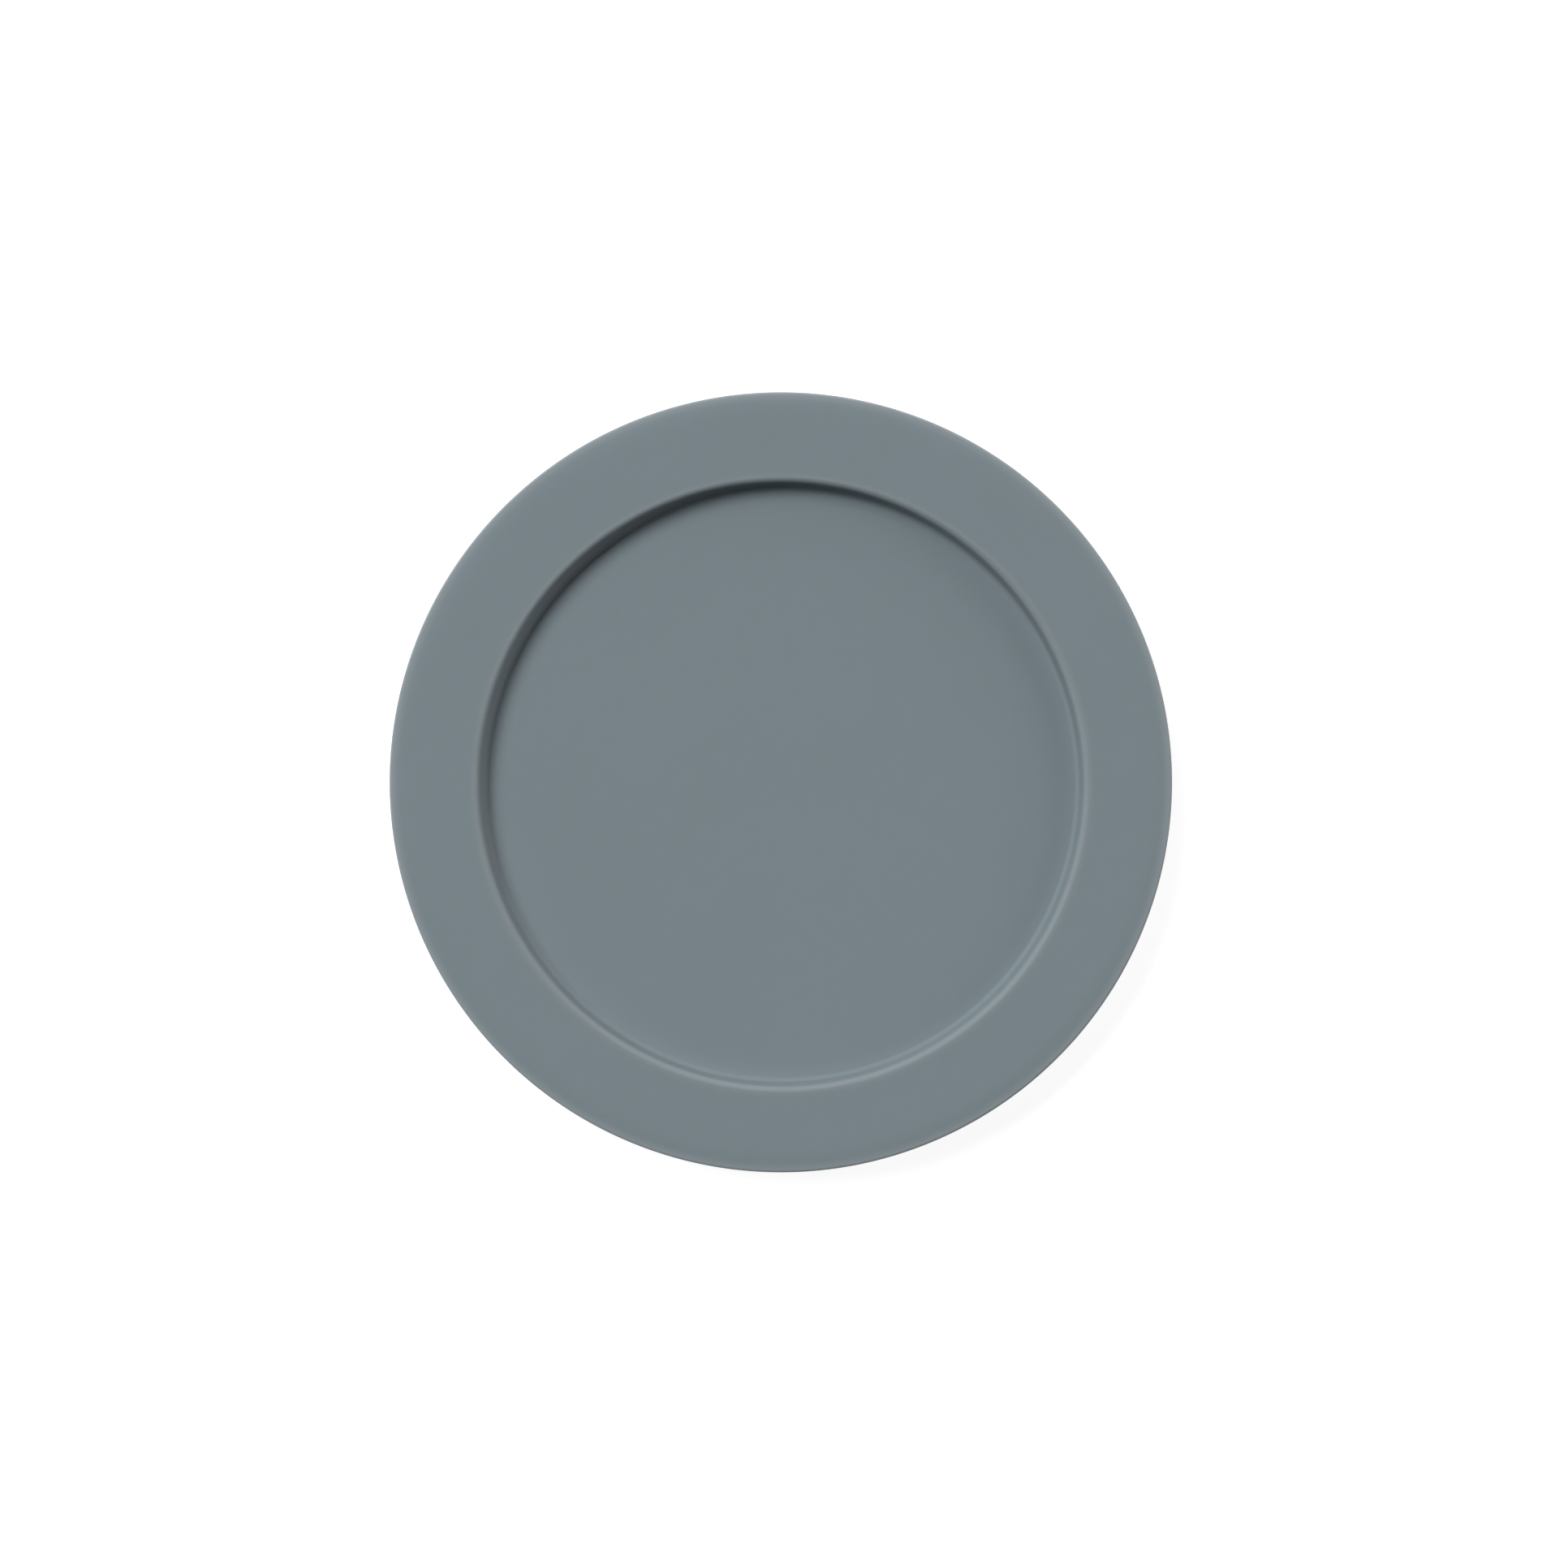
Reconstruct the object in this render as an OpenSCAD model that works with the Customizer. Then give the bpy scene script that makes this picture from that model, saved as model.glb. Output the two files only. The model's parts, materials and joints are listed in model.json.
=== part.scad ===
// Round stoneware plate with a wide flat rim and a shallow flat-bottomed well.
// Millimetres. The origin is the centre of the foot's resting plane, and +Z points up out of the well.
// Every solid is a section turned about Z. The section is one list of corners, and each corner carries
// the radius that rounds it, so the clay and the glaze come from the same list.

/* [Rim] */
// Outside diameter of the glazed plate
plate_d = 270; // [240:1:320]
// Thickness of the flat rim, glaze included
rim_t = 5; // [4.4:0.1:7]
// Width of the band along the outer edge where the rim falls away
edge_fall_w = 4.5; // [4.5:0.1:7]
// Slope of that band from the horizontal, in degrees
edge_fall_angle = 6.5; // [3:0.5:6.5]
// Radius that blends the flat rim into the falling band
edge_fall_r = 52; // [10:1:52]
// Radius that turns the falling band down into the outermost edge
edge_r = 1; // [0.8:0.1:1.7]
// Radius under the outermost edge
edge_under_r = 1.9; // [1:0.1:2]

/* [Well] */
// Diameter of the well at the foot of the wall
well_d = 205.8; // [205:0.2:207]
// Depth of the well, from the flat rim down to the floor
well_depth = 7; // [6:0.1:8]
// Slope of the wall from the horizontal, in degrees
wall_angle = 75; // [70:1:78]
// Radius of the lip, between the flat rim and the wall
lip_r = 2.2; // [1:0.1:3]
// Radius of the hollow corner at the foot of the wall
cove_r = 2; // [1:0.1:2.4]
// Width of the band along the foot of the wall where the floor starts to rise
dish_w = 3.6; // [3:0.1:6]
// Slope of that band from the horizontal, in degrees
dish_angle = 4.5; // [2:0.5:5]
// Radius that blends the flat floor into the rising band
dish_r = 30; // [10:1:40]

/* [Underside] */
// Height of the underside above the table, inside the foot ring
recess_h = 5; // [4:0.1:6]
// Thickness of the floor of the well, glaze included
floor_t = 5; // [4:0.1:7]
// Outside diameter of the foot ring at the table
foot_d = 190; // [170:1:192]
// Width of the foot ring at the table
foot_w = 5.6; // [4.8:0.1:8]
// How far each side of the foot ring leans out from its base to its root
foot_lean = 1.2; // [0.6:0.1:1.6]
// Radius that softens the two edges the plate stands on
foot_edge_r = 0.9; // [0.6:0.1:1.1]
// Radius in the two hollow corners at the root of the foot ring
foot_root_r = 1.5; // [0.8:0.1:2]
// Diameter where the underside starts to climb to the rim
climb_d = 203; // [202:0.5:205]
// Diameter where the climb meets the underside of the rim
under_rim_d = 226; // [224:0.5:234]
// Radius of the two blends at the ends of the climb
climb_r = 8; // [4:1:10]

/* [Glaze] */
// Thickness of the fired glaze
glaze_t = 0.3; // [0.2:0.05:0.5]
// Height above the table where the glaze stops, so that the foot is bare
glaze_line_h = 1.2; // [1:0.1:1.4]

/* [Hidden] */
$fn = 180;
// Largest turn between two neighbouring points of a rounded corner, in degrees
arc_step = 4;

plate_r = plate_d / 2;
foot_r = foot_d / 2;
floor_z = recess_h + floor_t;
rim_z = floor_z + well_depth;
under_rim_z = rim_z - rim_t;
foot_z = -glaze_t;
well_r = well_d / 2;
dish_rise = dish_w * tan(dish_angle);
lip_corner_r = well_r + (well_depth - dish_rise) / tan(wall_angle);
edge_corner_z = rim_z - edge_fall_w * tan(edge_fall_angle);

// Corners of the glazed section as [radius from the axis, height, rounding], in order from the axis
// along the underside, round the rim and back over the face to the axis. The glaze is counted on every
// surface, so the foot's corners lie one glaze thickness below the table.
recess_side = [
    [0, recess_h, 0],
    [foot_r - foot_w - foot_lean, recess_h, foot_root_r],
    [foot_r - foot_w, foot_z, foot_edge_r],
];
face_side = [
    [foot_r, foot_z, foot_edge_r],
    [foot_r + foot_lean, recess_h, foot_root_r],
    [climb_d / 2, recess_h, climb_r],
    [under_rim_d / 2, under_rim_z, climb_r],
    [plate_r, under_rim_z, edge_under_r],
    [plate_r, edge_corner_z, edge_r],
    [plate_r - edge_fall_w, rim_z, edge_fall_r],
    [lip_corner_r, rim_z, lip_r],
    [well_r, floor_z + dish_rise, cove_r],
    [well_r - dish_w, floor_z, dish_r],
    [0, floor_z, 0],
];
glazed_corners = concat(recess_side, face_side);
// First corner of the foot ring's outer side in the whole list
foot_outer = len(recess_side);

function unit(v) = v / norm(v);
function flat2(c) = [c[0], c[1]];
// Normal that points into the material, for a section listed with the material on its left
function inward(p, q) = let (d = unit(q - p)) [-d[1], d[0]];
// Sine of the turn from direction a to direction b: positive at an outside corner
function turn(a, b) = a[0] * b[1] - a[1] * b[0];
// Point where the line through p along u meets the line through q along v
function crossing(p, u, q, v) = p + u * turn(q - p, v) / turn(u, v);

// The same corners after every surface has moved t into the material. The two ends stay on the axis.
function inset(corners, t) = let (n = len(corners), p = [for (c = corners) flat2(c)]) [
    for (i = [0 : n - 1])
        i == 0 ? [0, p[0][1] + t, 0]
        : i == n - 1 ? [0, p[n - 1][1] - t, 0]
        : let (
            before = unit(p[i] - p[i - 1]),
            after = unit(p[i + 1] - p[i]),
            at = crossing(
                p[i] + t * inward(p[i - 1], p[i]), before,
                p[i] + t * inward(p[i], p[i + 1]), after
            ),
            outside = turn(before, after) > 0
        ) [at[0], at[1], corners[i][2] + (outside ? -t : t)]
];

// Points of the arc that rounds corner i, from the surface before it to the surface after it
function rounded(corners, i) = let (
    p = flat2(corners[i]),
    r = corners[i][2],
    before = unit(p - flat2(corners[i - 1])),
    after = unit(flat2(corners[i + 1]) - p),
    side = turn(before, after) > 0 ? 1 : -1,
    angle = acos(before * after),
    start = p - before * r * tan(angle / 2),
    centre = start + side * r * [-before[1], before[0]],
    steps = ceil(angle / arc_step)
) [
    for (k = [0 : steps])
        let (a = side * angle * k / steps, v = start - centre)
        centre + [v[0] * cos(a) - v[1] * sin(a), v[0] * sin(a) + v[1] * cos(a)]
];

// Points of the rounded section from corner first to corner last. The list's two end corners are sharp.
function outline(corners, first, last) = [
    for (i = [first : last])
        each (i == 0 || i == len(corners) - 1 ? [flat2(corners[i])] : rounded(corners, i))
];

// Point at height z on the straight side between two corners
function on_side(p, q, z) = [p[0] + (q[0] - p[0]) * (z - p[1]) / (q[1] - p[1]), z];

function reversed(list) = [for (i = [len(list) - 1 : -1 : 0]) list[i]];

clay_corners = inset(glazed_corners, glaze_t);
last_corner = len(glazed_corners) - 1;

// The glaze line on one side of the foot ring, on the given corner list
function recess_line(corners) = on_side(corners[foot_outer - 2], corners[foot_outer - 1], glaze_line_h);
function face_line(corners) = on_side(corners[foot_outer], corners[foot_outer + 1], glaze_line_h);

// Clay under the glaze, bare on the foot ring below the glaze line
module stoneware_body() {
    color([0.72, 0.66, 0.58])
        rotate_extrude()
            polygon(outline(clay_corners, 0, last_corner));
}

// Glaze over the outside, the rim and the well
module face_glaze() {
    color([0.46, 0.51, 0.53])
        rotate_extrude()
            polygon(concat(
                [face_line(glazed_corners)],
                outline(glazed_corners, foot_outer + 1, last_corner),
                reversed(outline(clay_corners, foot_outer + 1, last_corner)),
                [face_line(clay_corners)]
            ));
}

// Glaze on the underside, inside the foot ring
module foot_recess_glaze() {
    color([0.44, 0.49, 0.51])
        rotate_extrude()
            polygon(concat(
                outline(glazed_corners, 0, foot_outer - 2),
                [recess_line(glazed_corners)],
                [recess_line(clay_corners)],
                reversed(outline(clay_corners, 0, foot_outer - 2))
            ));
}

stoneware_body();
face_glaze();
foot_recess_glaze();
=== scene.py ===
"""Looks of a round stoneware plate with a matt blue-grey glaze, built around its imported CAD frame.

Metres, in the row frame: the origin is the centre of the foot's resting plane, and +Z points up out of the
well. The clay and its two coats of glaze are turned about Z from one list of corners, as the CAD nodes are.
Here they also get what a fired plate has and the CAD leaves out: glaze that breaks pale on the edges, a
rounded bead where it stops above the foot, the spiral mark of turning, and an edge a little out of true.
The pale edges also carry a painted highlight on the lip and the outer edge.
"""

import json
import math

import bpy
from mathutils import Matrix, Vector


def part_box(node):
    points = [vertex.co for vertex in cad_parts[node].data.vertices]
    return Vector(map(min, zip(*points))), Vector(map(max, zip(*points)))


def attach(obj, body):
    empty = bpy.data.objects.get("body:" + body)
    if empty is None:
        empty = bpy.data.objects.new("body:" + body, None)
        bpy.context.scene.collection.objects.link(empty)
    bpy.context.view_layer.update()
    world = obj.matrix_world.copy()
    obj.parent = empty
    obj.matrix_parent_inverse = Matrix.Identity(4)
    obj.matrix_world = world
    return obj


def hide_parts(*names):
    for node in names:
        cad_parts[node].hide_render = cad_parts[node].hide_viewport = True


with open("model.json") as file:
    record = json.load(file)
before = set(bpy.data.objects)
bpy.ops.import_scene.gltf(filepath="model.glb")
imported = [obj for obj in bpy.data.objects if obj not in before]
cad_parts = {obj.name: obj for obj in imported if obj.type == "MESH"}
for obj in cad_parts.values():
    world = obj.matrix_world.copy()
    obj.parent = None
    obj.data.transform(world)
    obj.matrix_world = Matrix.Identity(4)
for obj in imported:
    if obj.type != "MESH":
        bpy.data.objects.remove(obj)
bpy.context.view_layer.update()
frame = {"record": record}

MM = 0.001

# ---------------------------------------------------------------- sizes

face_low, face_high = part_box("face_glaze")
clay_low, clay_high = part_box("stoneware_body")
recess_low, recess_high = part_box("foot_recess_glaze")
mounts = {mount["name"]: Vector(mount["pos_m"]) for mount in frame["record"]["mounts"]}

# From the frame
PLATE_R = face_high.x
RIM_Z = face_high.z
FLOOR_Z = mounts["well_floor"].z
GLAZE_T = face_high.z - clay_high.z
GLAZE_LINE_Z = face_low.z
RECESS_Z = recess_high.z - GLAZE_T
FOOT_MIDDLE_R = mounts["foot_face"].x

# Rim
RIM_T = 5.0 * MM
EDGE_FALL_W = 4.5 * MM
EDGE_FALL_ANGLE = math.radians(6.5)
EDGE_FALL_R = 52 * MM
EDGE_R = 1.0 * MM
EDGE_UNDER_R = 1.9 * MM

# Well
WELL_R = 102.9 * MM
WALL_ANGLE = math.radians(75)
LIP_R = 2.2 * MM
COVE_R = 2.0 * MM
DISH_W = 3.6 * MM
DISH_ANGLE = math.radians(4.5)
DISH_R = 30 * MM

# Underside
FOOT_W = 5.6 * MM
FOOT_LEAN = 1.2 * MM
FOOT_EDGE_R = 0.9 * MM
FOOT_ROOT_R = 1.5 * MM
CLIMB_R = 101.5 * MM
UNDER_RIM_R = 113.0 * MM
CLIMB_BLEND_R = 8 * MM

# How far the glaze melts into the clay under it
GLAZE_BITE = 0.05 * MM
# The bead at the glaze line: its length up the foot, its extra thickness, and how far that fades
BEAD_LENGTH = 0.35 * MM
BEAD_EXTRA = 0.12 * MM
BEAD_FADE = 0.5 * MM
# How far the glaze line wanders up and down round the foot
LINE_WANDER = 0.16 * MM

# The outer edge isn't quite round, and isn't quite centred on the well: both grow in over this band
EDGE_SET_START_R = 110 * MM
EDGE_SET_END_R = 128 * MM
EDGE_OVAL = 0.0015
EDGE_SHIFT = Vector((-0.30 * MM, 0.75 * MM))

# How far from an edge or a hollow the glaze's thickness and the painted edge highlight are still changed by
# it
BREAK_AND_HIGHLIGHT_REACH = 3 * MM

# Spiral left in the foot recess by the turning tool
SPIRAL_PITCH = 5.2 * MM
SPIRAL_DEPTH = 0.035 * MM
SPIRAL_CENTRE_R = 6 * MM
SPIRAL_MARGIN = 5 * MM

# Mesh fineness
TURNS = 360
FINE_ARC = math.radians(4.5)
FINE_RUN = 4.5 * MM
COARSE_ARC = math.radians(12)
COARSE_RUN = 14 * MM
SPIRAL_RUN = 0.85 * MM

foot_outer_r = FOOT_MIDDLE_R + FOOT_W / 2
foot_inner_r = FOOT_MIDDLE_R - FOOT_W / 2
under_rim_z = RIM_Z - RIM_T
dish_rise = DISH_W * math.tan(DISH_ANGLE)
lip_corner_r = WELL_R + (RIM_Z - FLOOR_Z - dish_rise) / math.tan(WALL_ANGLE)

# Corners of the glazed section as (radius, height, rounding), from the axis along the underside, round the
# rim and back over the face to the axis. The glaze is counted everywhere, so the foot's corners lie one
# glaze thickness below the table.
RECESS_SIDE = [
    (0.0, RECESS_Z, 0.0),
    (foot_inner_r - FOOT_LEAN, RECESS_Z, FOOT_ROOT_R),
    (foot_inner_r, -GLAZE_T, FOOT_EDGE_R),
]
FACE_SIDE = [
    (foot_outer_r, -GLAZE_T, FOOT_EDGE_R),
    (foot_outer_r + FOOT_LEAN, RECESS_Z, FOOT_ROOT_R),
    (CLIMB_R, RECESS_Z, CLIMB_BLEND_R),
    (UNDER_RIM_R, under_rim_z, CLIMB_BLEND_R),
    (PLATE_R, under_rim_z, EDGE_UNDER_R),
    (PLATE_R, RIM_Z - EDGE_FALL_W * math.tan(EDGE_FALL_ANGLE), EDGE_R),
    (PLATE_R - EDGE_FALL_W, RIM_Z, EDGE_FALL_R),
    (lip_corner_r, RIM_Z, LIP_R),
    (WELL_R, FLOOR_Z + dish_rise, COVE_R),
    (WELL_R - DISH_W, FLOOR_Z, DISH_R),
    (0.0, FLOOR_Z, 0.0),
]
GLAZED = RECESS_SIDE + FACE_SIDE
# First corner of the foot ring's outer side, and the last corner of all
FOOT_OUTER = len(RECESS_SIDE)
LAST = len(GLAZED) - 1


# ---------------------------------------------------------------- sections

def flat(corner):
    """The corner's place in the section, without its rounding."""
    return Vector(corner[:2])


def inward(start, end):
    """Normal that points into the material, for a section listed with the material on its left."""
    along = (end - start).normalized()
    return Vector((-along.y, along.x))


def inset(corners, depth):
    """The same corners after every surface has moved depth into the material. Both ends stay on the axis."""
    moved = [(0.0, corners[0][1] + depth, 0.0)]
    for i in range(1, len(corners) - 1):
        before, here, after = (flat(c) for c in corners[i - 1 : i + 2])
        into = (here - before).normalized()
        out = (after - here).normalized()
        turn = into.cross(out)
        near = here + depth * inward(before, here)
        far = here + depth * inward(here, after)
        place = near + into * ((far - near).cross(out) / turn)
        moved.append((place.x, place.y, corners[i][2] - math.copysign(depth, turn)))
    moved.append((0.0, corners[-1][1] - depth, 0.0))
    return moved


def rounded(corners, i, arc_step):
    """Points of the arc that rounds corner i. The list's two end corners are sharp."""
    here = flat(corners[i])
    if i in (0, len(corners) - 1):
        return [here]
    into = (here - flat(corners[i - 1])).normalized()
    out = (flat(corners[i + 1]) - here).normalized()
    radius = corners[i][2]
    side = math.copysign(1, into.cross(out))
    angle = math.acos(into.dot(out))
    start = here - into * radius * math.tan(angle / 2)
    centre = start + side * radius * Vector((-into.y, into.x))
    steps = max(4, math.ceil(angle / arc_step))
    turns = [Matrix.Rotation(side * angle * k / steps, 2) for k in range(steps + 1)]
    return [centre + turn @ (start - centre) for turn in turns]


def run(start, end, spacing):
    """Points between two ends, closer together towards both, so that a flat stretch is shaded flat."""
    count = max(3, math.ceil((end - start).length / spacing))
    shares = [(1 - math.cos(math.pi * k / count)) / 2 for k in range(1, count)]
    return [start.lerp(end, share) for share in shares]


def outline(corners, first, last, arc_step, spacing):
    """Points of the rounded section from corner first to corner last."""
    points = []
    for i in range(first, last + 1):
        arc = rounded(corners, i, arc_step)
        if points:
            points += run(points[-1], arc[0], spacing)
        points += arc
    return points


def glaze_edge(foot_edge, foot_root):
    """Section of the bead in which a coat stops on one side of the foot, from the clay up to full thickness.

    foot_edge and foot_root are the clay's corners at the bottom and the top of that side.
    """
    low, high = flat(foot_edge), flat(foot_root)
    up = (high - low).normalized()
    away = Vector((up.y, -up.x)) * math.copysign(1, up.x)
    line = low + up * ((GLAZE_LINE_Z - low.y) / up.y)
    full = GLAZE_T + BEAD_EXTRA
    points = [line - away * GLAZE_BITE]
    for degrees in (0, 15, 30, 45, 60, 75, 90):
        angle = math.radians(degrees)
        points.append(line + up * BEAD_LENGTH * (1 - math.cos(angle)) + away * full * math.sin(angle))
    for step in (0.4, 0.8, 1.2, 1.7, 2.3):
        thick = GLAZE_T + BEAD_EXTRA * math.exp(-step * step)
        points.append(line + up * (BEAD_LENGTH + BEAD_FADE * step) + away * thick)
    return points


def bend(points, reach):
    """How sharply the section turns at each point, in radians per millimetre, averaged over about reach.

    Above zero on an outside corner, where glaze runs thin and a highlight is painted, and below zero in a
    hollow, where it gathers.
    """
    along = [0.0]
    for before, here in zip(points, points[1:]):
        along.append(along[-1] + (here - before).length)
    turns = [0.0]
    for before, here, after in zip(points, points[1:], points[2:]):
        on_axis = min(before.x, here.x, after.x) < 1e-9
        turns.append(0.0 if on_axis else (here - before).angle_signed(after - here, 0.0))
    turns.append(0.0)
    scale = MM / (reach * math.sqrt(math.pi))
    return [
        -scale * sum(t * math.exp(-(((s - here) / reach) ** 2)) for s, t in zip(along, turns))
        for here in along
    ]


# ---------------------------------------------------------------- from section to piece

def smooth(value, low, high):
    """From 0 at low to 1 at high, with a soft start and end."""
    share = min(1.0, max(0.0, (value - low) / (high - low)))
    return share * share * (3 - 2 * share)


def wander(angle):
    """A gentle uneven wave round the plate, from about -1 to 1."""
    wide = 0.5 * math.sin(3 * angle + 0.4)
    narrow = 0.3 * math.sin(8 * angle + 1.9) + 0.2 * math.sin(17 * angle + 4.1)
    return wide + narrow


def set_edge(radius, height, angle):
    """Place of a section point at one angle round the axis, with the outer edge a little out of true."""
    share = smooth(radius, EDGE_SET_START_R, EDGE_SET_END_R)
    radius *= 1 + share * EDGE_OVAL * math.cos(2 * angle)
    return (
        radius * math.cos(angle) + share * EDGE_SHIFT.x,
        radius * math.sin(angle) + share * EDGE_SHIFT.y,
        height,
    )


def set_glaze(radius, height, angle):
    """set_edge, with the glaze line wandering up and down the leaning sides of the foot."""
    lift = LINE_WANDER * wander(angle) * (1 - smooth(height, GLAZE_LINE_Z, RECESS_Z - FOOT_ROOT_R))
    lean = math.copysign(FOOT_LEAN / (RECESS_Z + GLAZE_T), radius - FOOT_MIDDLE_R)
    return set_edge(radius + lift * lean, height + lift, angle)


def set_recess_glaze(radius, height, angle):
    """set_glaze, with the turning tool's spiral on the glazed face of the recess."""
    share = smooth(radius, 0, SPIRAL_CENTRE_R)
    share *= 1 - smooth(radius, foot_inner_r - 2 * SPIRAL_MARGIN, foot_inner_r - SPIRAL_MARGIN)
    share *= 1 - smooth(height, RECESS_Z, RECESS_Z + GLAZE_T)
    ripple = SPIRAL_DEPTH * share * math.sin(2 * math.pi * radius / SPIRAL_PITCH - angle)
    return set_glaze(radius, height + ripple, angle)


def turned(name, points, place, closed):
    """A closed mesh swept from a section about Z. place puts each section point at its angle.

    A closed section joins its last point to its first. Points on the axis become one vertex each.
    """
    vertices = []
    rings = []
    for point in points:
        if point.x < 1e-9:
            rings.append([len(vertices)] * TURNS)
            vertices.append((0.0, 0.0, point.y))
            continue
        rings.append(range(len(vertices), len(vertices) + TURNS))
        vertices += [place(point.x, point.y, 2 * math.pi * k / TURNS) for k in range(TURNS)]
    faces = []
    pairs = list(zip(rings, rings[1:]))
    if closed:
        pairs.append((rings[-1], rings[0]))
    for lower, upper in pairs:
        for k in range(TURNS):
            after = (k + 1) % TURNS
            corners = (lower[k], lower[after], upper[after], upper[k])
            face = list(dict.fromkeys(corners))
            if len(face) > 2:
                faces.append(face)
    mesh = bpy.data.meshes.new(name)
    mesh.from_pydata(vertices, [], faces)
    mesh.polygons.foreach_set("use_smooth", [True] * len(mesh.polygons))
    bends = []
    for point, amount in zip(points, bend(points, BREAK_AND_HIGHLIGHT_REACH)):
        bends += [amount] * (1 if point.x < 1e-9 else TURNS)
    mesh.attributes.new("bend", "FLOAT", "POINT").data.foreach_set("value", bends)
    mesh.validate()
    mesh.update()
    piece = bpy.data.objects.new(name, mesh)
    bpy.context.scene.collection.objects.link(piece)
    return piece


# ---------------------------------------------------------------- materials

# The part of the noise's range that most of it lies in
NOISE_MIDDLE = (0.3, 0.7)

# Glaze: tone across the plate, tone within it, the grain of its surface, and its slow swell
CLOUD_SIZE = 45 * MM
MOTTLE_SIZE = 6 * MM
GLAZE_GRAIN_SIZE = 0.5 * MM
GLAZE_GRAIN_DEPTH = 0.006 * MM
GLAZE_ROUGHNESS = (0.70, 0.80)
SWELL_SIZE = 9 * MM
SWELL_DEPTH = 0.02 * MM
# How sharply the surface bends, in radians per millimetre, where glaze starts and ends getting thin or
# thick; the thin end also carries a painted highlight on edges
THIN_AND_HIGHLIGHT_BEND = (0.06, 0.50)
GATHERED_BEND = (0.0, -0.40)

# Clay: its grain, its patches and its iron specks
CLAY_GRAIN_SIZE = 0.35 * MM
CLAY_GRAIN_DEPTH = 0.03 * MM
CLAY_PATCH_SIZE = 12 * MM
SPECK_SIZE = 0.8 * MM
SPECK_NOISE = (0.70, 0.76)


class Nodes:
    """A new material's node tree, with short ways to add the nodes used here."""

    def __init__(self, name):
        self.material = bpy.data.materials.new(name)
        self.material.use_nodes = True
        self.tree = self.material.node_tree
        self.shader = self.tree.nodes["Principled BSDF"]
        self.place = self.tree.nodes.new("ShaderNodeTexCoord").outputs["Object"]

    def link(self, source, target):
        self.tree.links.new(source, target)

    def noise(self, size, detail=2.0, roughness=0.5):
        """Noise whose lumps are about size across."""
        made = self.tree.nodes.new("ShaderNodeTexNoise")
        made.inputs["Scale"].default_value = 1 / size
        made.inputs["Detail"].default_value = detail
        made.inputs["Roughness"].default_value = roughness
        self.link(self.place, made.inputs["Vector"])
        return made.outputs["Fac"]

    def attribute(self, name):
        made = self.tree.nodes.new("ShaderNodeAttribute")
        made.attribute_name = name
        return made.outputs["Fac"]

    def ramp(self, value, from_low, from_high, to_low=0.0, to_high=1.0):
        made = self.tree.nodes.new("ShaderNodeMapRange")
        made.interpolation_type = "SMOOTHSTEP"
        for name, number in zip(
            ("From Min", "From Max", "To Min", "To Max"), (from_low, from_high, to_low, to_high)
        ):
            made.inputs[name].default_value = number
        self.link(value, made.inputs["Value"])
        return made.outputs["Result"]

    def mix(self, share, first, second):
        """A colour that goes from first to second as share goes from 0 to 1. Either may be a socket."""
        made = self.tree.nodes.new("ShaderNodeMix")
        made.data_type = "RGBA"
        self.link(share, made.inputs["Factor"])
        for socket, colour in ((made.inputs["A"], first), (made.inputs["B"], second)):
            if isinstance(colour, tuple):
                socket.default_value = (*colour, 1.0)
            else:
                self.link(colour, socket)
        return made.outputs["Result"]

    def bump(self, height, depth, below=None):
        """A bump of the given depth, added to the one below it."""
        made = self.tree.nodes.new("ShaderNodeBump")
        made.inputs["Distance"].default_value = depth
        self.link(height, made.inputs["Height"])
        if below:
            self.link(below, made.inputs["Normal"])
        return made.outputs["Normal"]


def shade(colour, amount):
    """The colour made lighter or darker by a share."""
    return tuple(c * (1 + amount) for c in colour)


def matt_glaze(name, colour, pale):
    """A smooth matt glaze: even in tone, pale where it runs thin on edges and painted lighter there as a
    highlight, deeper where it gathers.
    """
    nodes = Nodes(name)
    cloud = nodes.ramp(nodes.noise(CLOUD_SIZE), *NOISE_MIDDLE)
    tone = nodes.mix(cloud, shade(colour, -0.006), shade(colour, 0.006))
    mottle = nodes.ramp(nodes.noise(MOTTLE_SIZE, detail=3), *NOISE_MIDDLE)
    tone = nodes.mix(mottle, tone, nodes.mix(cloud, shade(colour, 0.004), shade(colour, 0.014)))
    edge = nodes.attribute("bend")
    thin = nodes.ramp(edge, *THIN_AND_HIGHLIGHT_BEND)
    gathered = nodes.ramp(edge, *GATHERED_BEND)
    # Pale on edges: partly thin glaze breaking pale, partly a painted highlight on the lip and the outer
    # edge
    tone = nodes.mix(thin, tone, pale)
    tone = nodes.mix(gathered, tone, shade(colour, -0.02))
    nodes.link(tone, nodes.shader.inputs["Base Color"])
    grain = nodes.noise(GLAZE_GRAIN_SIZE, detail=3, roughness=0.6)
    sheen = nodes.ramp(grain, *NOISE_MIDDLE, *GLAZE_ROUGHNESS)
    nodes.link(sheen, nodes.shader.inputs["Roughness"])
    swell = nodes.bump(nodes.noise(SWELL_SIZE, detail=1), SWELL_DEPTH)
    nodes.link(nodes.bump(grain, GLAZE_GRAIN_DEPTH, swell), nodes.shader.inputs["Normal"])
    nodes.shader.inputs["IOR"].default_value = 1.5
    return nodes.material


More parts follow.
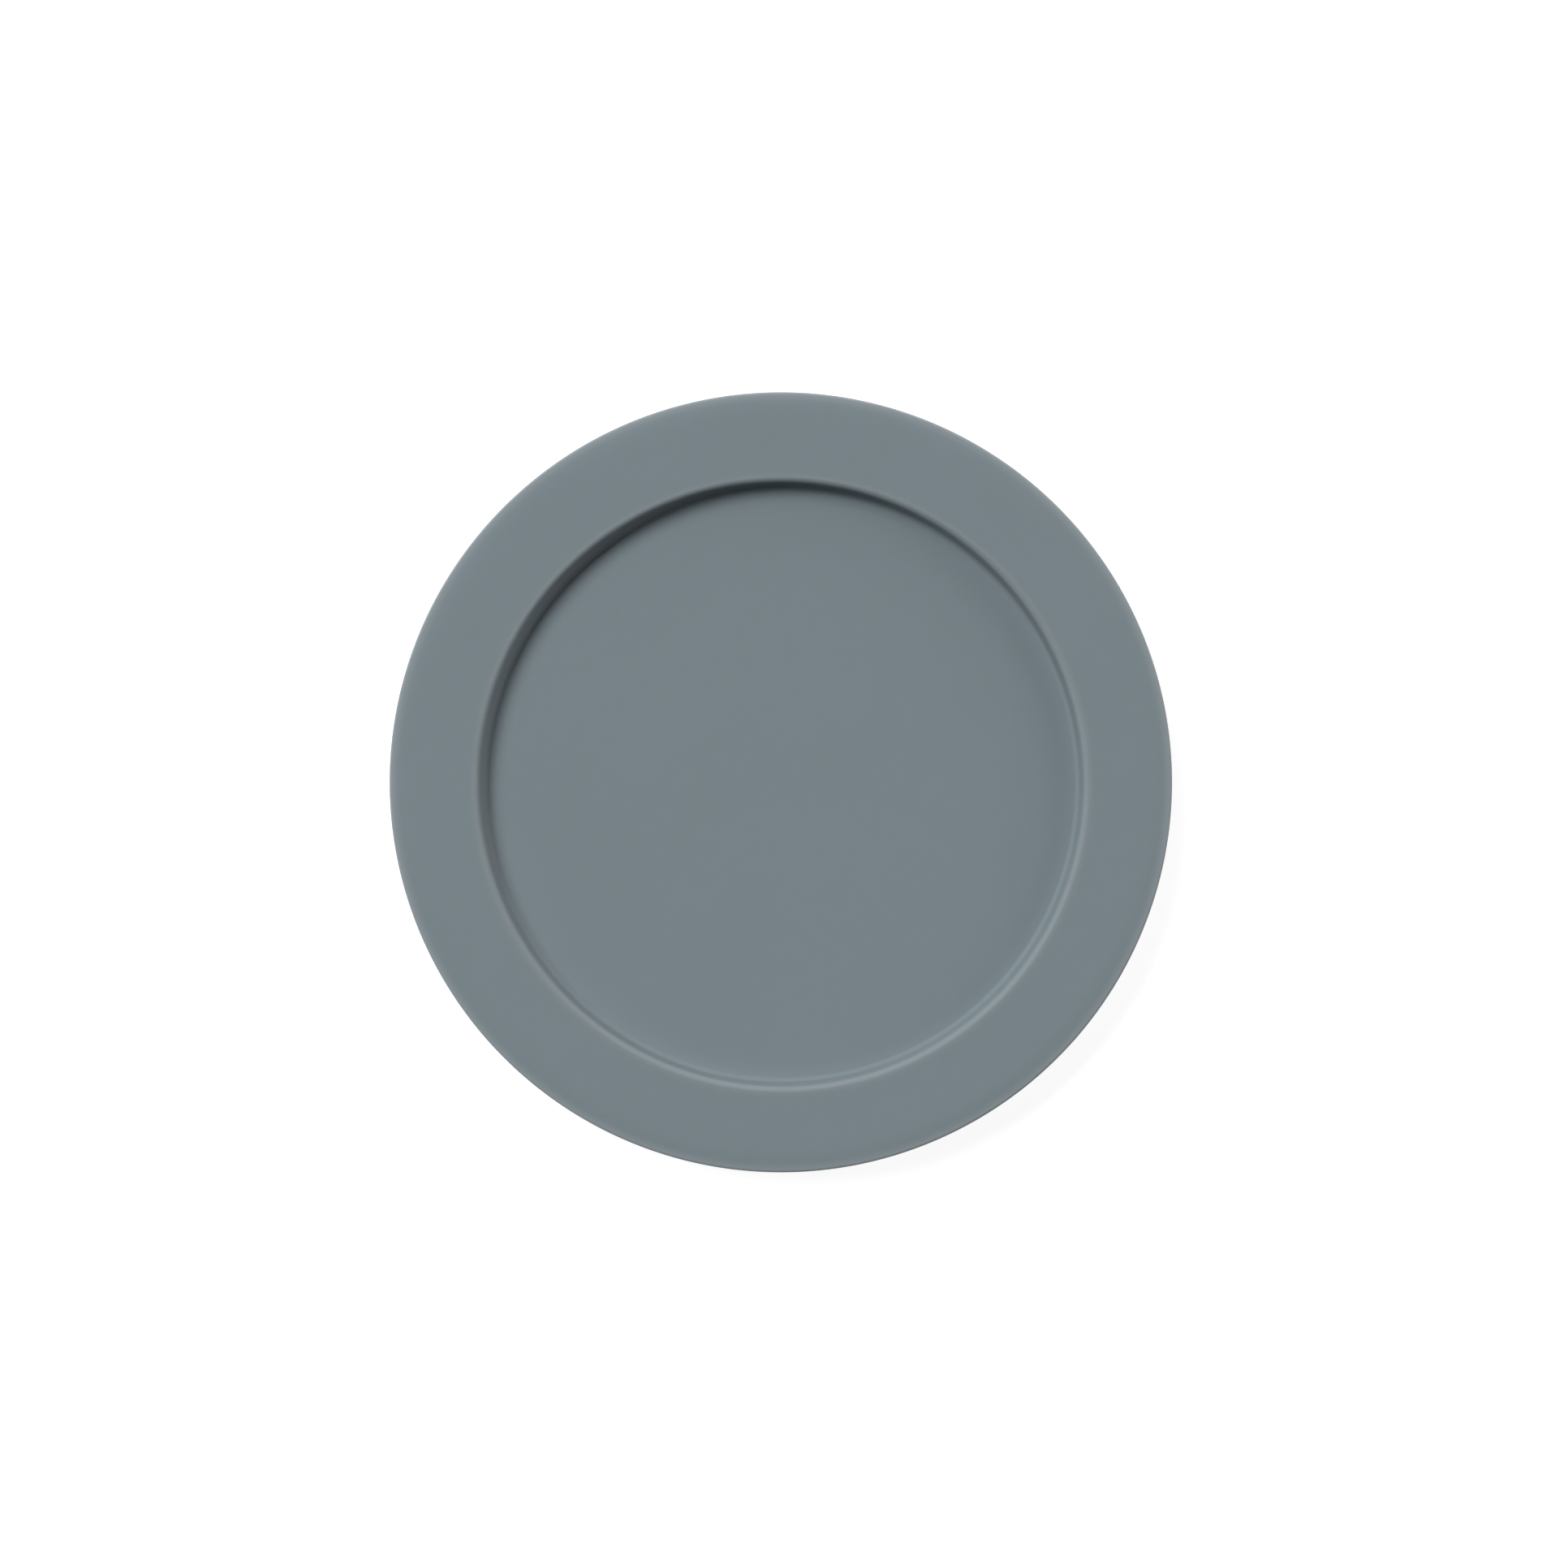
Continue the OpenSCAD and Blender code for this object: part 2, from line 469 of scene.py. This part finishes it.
def bare_clay(name, colour):
    """Fired stoneware without glaze: dry, with a fine grain, darker patches and a few dark iron specks."""
    nodes = Nodes(name)
    grain = nodes.noise(CLAY_GRAIN_SIZE, detail=4, roughness=0.7)
    tone = nodes.mix(nodes.ramp(grain, *NOISE_MIDDLE), shade(colour, -0.10), shade(colour, 0.08))
    patch = nodes.ramp(nodes.noise(CLAY_PATCH_SIZE), 0.35, 0.65)
    tone = nodes.mix(patch, tone, nodes.mix(nodes.ramp(grain, *NOISE_MIDDLE), shade(colour, -0.16), colour))
    speck = nodes.ramp(nodes.noise(SPECK_SIZE, detail=1), *SPECK_NOISE)
    tone = nodes.mix(speck, tone, shade(colour, -0.6))
    nodes.link(tone, nodes.shader.inputs["Base Color"])
    nodes.shader.inputs["Roughness"].default_value = 0.92
    nodes.link(nodes.bump(grain, CLAY_GRAIN_DEPTH), nodes.shader.inputs["Normal"])
    return nodes.material


# ---------------------------------------------------------------- the plate

GLAZE_COLOUR = (0.164, 0.207, 0.229)
# Edge colour: thin glaze breaking pale, made whiter to also paint a highlight on the lip and the outer edge
THIN_GLAZE_AND_HIGHLIGHT_COLOUR = (0.262, 0.300, 0.315)
UNDER_GLAZE_COLOUR = shade(GLAZE_COLOUR, -0.03)
CLAY_COLOUR = (0.56, 0.46, 0.36)

clay_corners = inset(GLAZED, GLAZE_T)
melted_corners = inset(GLAZED, GLAZE_T + GLAZE_BITE)

clay = turned("clay_body", outline(clay_corners, 0, LAST, COARSE_ARC, COARSE_RUN), set_edge, closed=False)
clay.data.materials.append(bare_clay("bare stoneware", CLAY_COLOUR))
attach(clay, "root")
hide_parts("stoneware_body")

face_section = glaze_edge(clay_corners[FOOT_OUTER], clay_corners[FOOT_OUTER + 1])
face_section += outline(GLAZED, FOOT_OUTER + 1, LAST, FINE_ARC, FINE_RUN)
face_section += reversed(outline(melted_corners, FOOT_OUTER + 1, LAST, COARSE_ARC, COARSE_RUN))
face = turned("face_glaze_coat", face_section, set_glaze, closed=True)
face.data.materials.append(matt_glaze("matt glaze", GLAZE_COLOUR, THIN_GLAZE_AND_HIGHLIGHT_COLOUR))
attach(face, "root")
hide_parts("face_glaze")

recess_section = outline(GLAZED, 0, FOOT_OUTER - 2, FINE_ARC, SPIRAL_RUN)
recess_section += reversed(glaze_edge(clay_corners[FOOT_OUTER - 1], clay_corners[FOOT_OUTER - 2]))
recess_section += reversed(outline(melted_corners, 0, FOOT_OUTER - 2, COARSE_ARC, COARSE_RUN))
recess = turned("foot_recess_glaze_coat", recess_section, set_recess_glaze, closed=True)
recess.data.materials.append(matt_glaze("matt glaze underneath", UNDER_GLAZE_COLOUR, THIN_GLAZE_AND_HIGHLIGHT_COLOUR))
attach(recess, "root")
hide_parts("foot_recess_glaze")


# ---------------------------------------------------------------- stage, camera and light

STAGE_R = 8.0
FLOOR_GLOW = 0.87
FLOOR_COLOUR = (0.35, 0.35, 0.35)
WARM_WHITE = (1.0, 0.94, 0.92)


def plain_material(name, colour, glow):
    made = bpy.data.materials.new(name)
    made.use_nodes = True
    shader = made.node_tree.nodes["Principled BSDF"]
    shader.inputs["Base Color"].default_value = (*colour, 1.0)
    shader.inputs["Roughness"].default_value = 1.0
    shader.inputs["Specular IOR Level"].default_value = 0.0
    shader.inputs["Emission Color"].default_value = (1.0, 1.0, 1.0, 1.0)
    shader.inputs["Emission Strength"].default_value = glow
    return made


def white_floor():
    """The table, a pale disc that glows enough to stay white around the plate."""
    bpy.ops.mesh.primitive_circle_add(vertices=64, radius=STAGE_R, fill_type="NGON")
    floor = bpy.context.object
    floor.name = "floor"
    floor.data.materials.append(plain_material("white table", FLOOR_COLOUR, FLOOR_GLOW))


def white_backdrop():
    """A white dome that only the camera sees, so that it gives no light of its own."""
    bpy.ops.mesh.primitive_uv_sphere_add(segments=48, ring_count=24, radius=STAGE_R)
    dome = bpy.context.object
    dome.name = "backdrop"
    dome.data.materials.append(plain_material("white backdrop", (0.0, 0.0, 0.0), 1.0))
    dome.visible_diffuse = False
    dome.visible_glossy = False
    dome.visible_transmission = False
    dome.visible_shadow = False


def soft_sun(name, azimuth, elevation, spread, strength, colour=(1.0, 1.0, 1.0)):
    """An even soft light from one side.

    Azimuth is counter-clockwise from +X, and all angles are in degrees.
    """
    light = bpy.data.lights.new(name, "SUN")
    light.energy = strength
    light.color = colour
    light.angle = math.radians(spread)
    lamp = bpy.data.objects.new(name, light)
    across = math.cos(math.radians(elevation))
    towards = Vector((
        across * math.cos(math.radians(azimuth)),
        across * math.sin(math.radians(azimuth)),
        math.sin(math.radians(elevation)),
    ))
    lamp.rotation_euler = towards.to_track_quat("Z", "Y").to_euler()
    bpy.context.scene.collection.objects.link(lamp)


def overhead_camera():
    """Looks straight down on the plate, with +Y up in the picture."""
    height = 1.5
    picture_w = 0.5413
    data = bpy.data.cameras.new("overhead")
    data.sensor_width = 36
    data.lens = data.sensor_width * height / picture_w
    data.clip_start = 0.05
    data.clip_end = 20
    camera = bpy.data.objects.new("overhead", data)
    camera.location = (0.8 * MM, 0.15 * MM, RIM_Z + height)
    bpy.context.scene.collection.objects.link(camera)
    bpy.context.scene.camera = camera


white_floor()
white_backdrop()
soft_sun("left key", azimuth=153, elevation=46, spread=30, strength=2.0)
soft_sun("top key", azimuth=122, elevation=46, spread=31, strength=1.56)
soft_sun("right fill", azimuth=8, elevation=17, spread=35, strength=1.15, colour=WARM_WHITE)
soft_sun("back fill", azimuth=62, elevation=12, spread=40, strength=0.95, colour=WARM_WHITE)
soft_sun("left fill", azimuth=205, elevation=6, spread=26, strength=0.4, colour=WARM_WHITE)
overhead_camera()
bpy.context.scene.view_settings.view_transform = "Standard"
